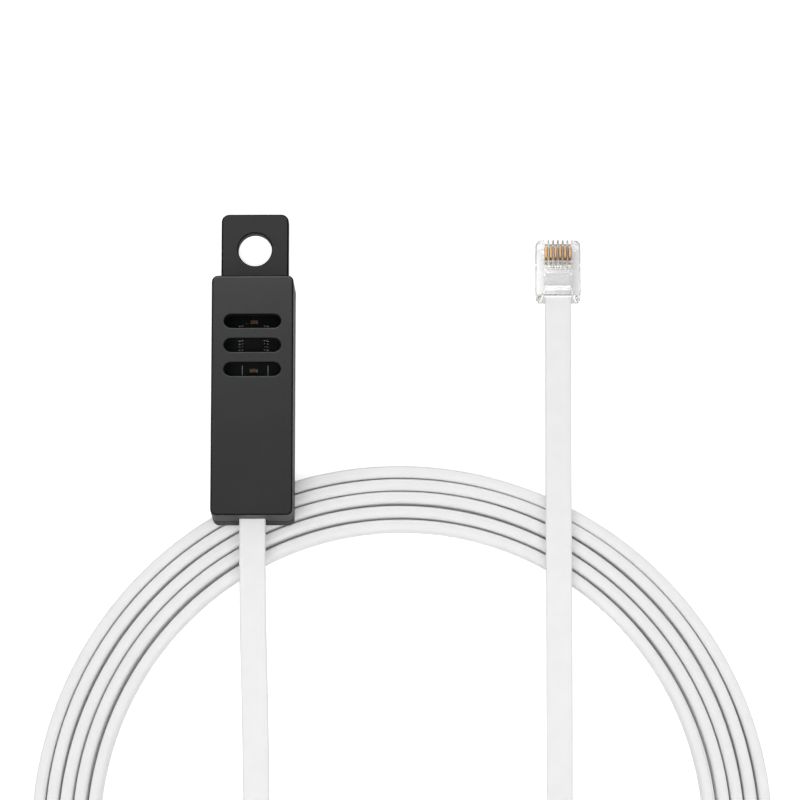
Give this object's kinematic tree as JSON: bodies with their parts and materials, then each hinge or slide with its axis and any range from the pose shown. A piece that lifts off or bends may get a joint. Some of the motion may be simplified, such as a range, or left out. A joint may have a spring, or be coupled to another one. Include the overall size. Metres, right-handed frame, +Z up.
{
  "type": "rack temperature sensor",
  "caption": "Slim vented sensor head with a hanging tab, on a coiled flat cord that ends in a clear modular plug.",
  "frame": {"origin": "under the middle of the sensor head, on the surface it lies on", "axes": "+Y along the head towards its hanging tab, +Z up, the head's front faces up"},
  "size_m": [0.1576, 0.2179, 0.0197],
  "materials": {
    "dark_abs": "satin moulded",
    "board_laminate": "satin solder mask",
    "chip_epoxy": "matt moulded",
    "tinned_leads": "satin tin plate",
    "capacitor_ceramic": "fired ceramic",
    "resistor_coat": "glazed",
    "solder": "bright",
    "cord_pvc": "satin, flexible",
    "clear_polycarbonate": "clear moulded",
    "gold_contact": "gold plate",
    "wire_white": "satin",
    "wire_black": "satin",
    "wire_red": "satin",
    "wire_green": "satin",
    "wire_yellow": "satin",
    "wire_blue": "satin"
  },
  "bodies": {
    "root": {"back_shell": "dark_abs", "capacitors": "capacitor_ceramic", "chip_part_ends": "tinned_leads", "circuit_board": "board_laminate", "controller_chip": "chip_epoxy", "controller_pins": "tinned_leads", "cord_coil": "cord_pvc", "front_shell": "dark_abs", "head_cord": "cord_pvc", "head_wire_black": "wire_black", "head_wire_blue": "wire_blue", "head_wire_green": "wire_green", "head_wire_red": "wire_red", "head_wire_white": "wire_white", "head_wire_yellow": "wire_yellow", "plug_body": "clear_polycarbonate", "plug_contact_1": "gold_contact", "plug_contact_2": "gold_contact", "plug_contact_3": "gold_contact", "plug_contact_4": "gold_contact", "plug_contact_5": "gold_contact", "plug_contact_6": "gold_contact", "plug_cord": "cord_pvc", "plug_wire_black": "wire_black", "plug_wire_blue": "wire_blue", "plug_wire_green": "wire_green", "plug_wire_red": "wire_red", "plug_wire_white": "wire_white", "plug_wire_yellow": "wire_yellow", "resistors": "resistor_coat", "sensing_chip": "chip_epoxy", "sensing_pins": "tinned_leads", "solder_joints": "solder"}
  },
  "joints": []
}
